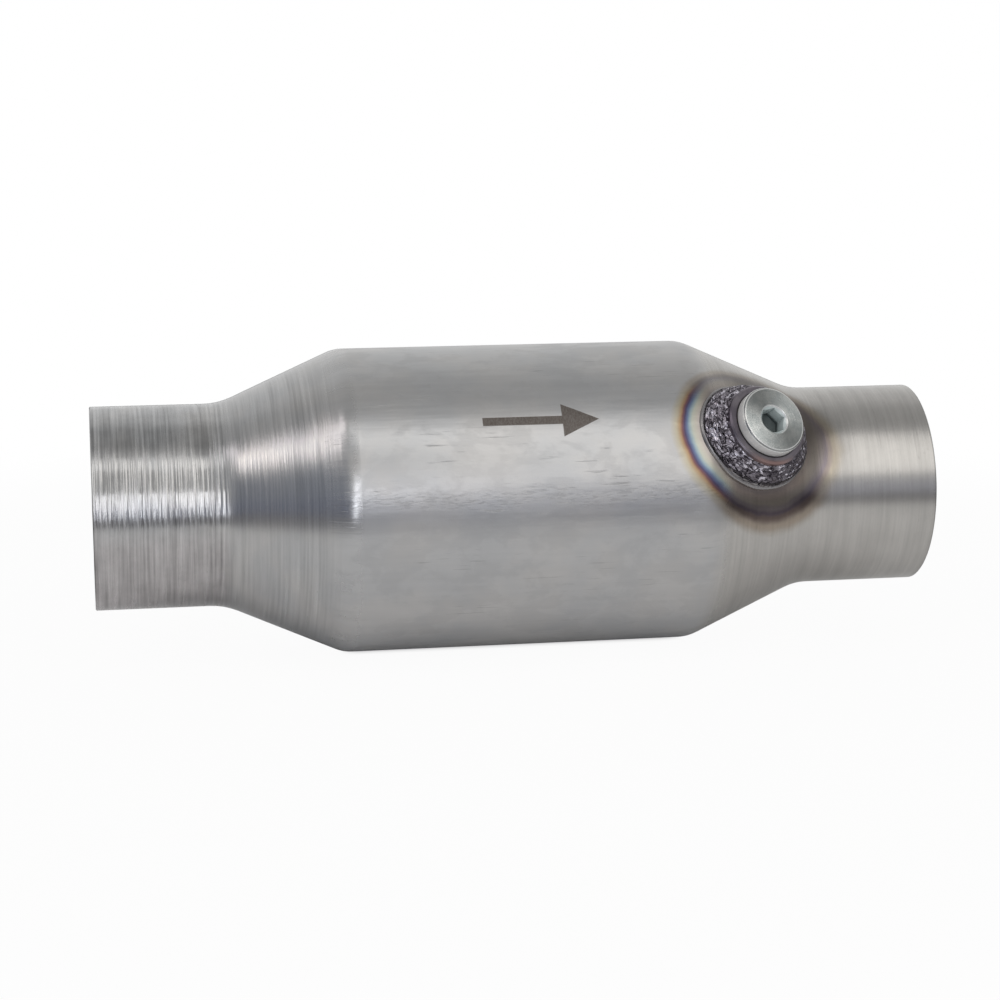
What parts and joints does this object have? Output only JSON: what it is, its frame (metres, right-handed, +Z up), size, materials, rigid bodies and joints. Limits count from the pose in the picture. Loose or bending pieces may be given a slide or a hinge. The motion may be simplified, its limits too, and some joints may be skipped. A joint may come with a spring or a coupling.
{
  "type": "catalytic converter",
  "caption": "Round exhaust catalytic converter with a one-piece spun steel body, tapered cones, open pipe necks and a plugged sensor boss welded on the outlet cone.",
  "frame": {"origin": "centre of the inlet neck's end, on the converter's axis", "axes": "+X along the gas flow from inlet to outlet, +Z up, with the sensor boss facing up and to -Y"},
  "size_m": [0.2794, 0.1029, 0.1016],
  "materials": {
    "spun_steel": "satin, brushed round the necks and cones, with heat tint round the weld",
    "catalyst_ceramic": "matt, washcoated",
    "mat_fibre": "matt fibre with mica flakes",
    "knitted_wire": "knitted wire",
    "boss_steel": "turned, tinted by the weld's heat",
    "weld_metal": "glossy dark scale with bright spatter",
    "zinc_plated_steel": "bright zinc plate"
  },
  "bodies": {
    "root": {"shell": "spun_steel", "ceramic_brick": "catalyst_ceramic", "support_mat": "mat_fibre", "inlet_mesh_seal": "knitted_wire", "outlet_mesh_seal": "knitted_wire", "sensor_boss": "boss_steel", "boss_weld": "weld_metal", "screw_plug": "zinc_plated_steel"}
  },
  "joints": []
}
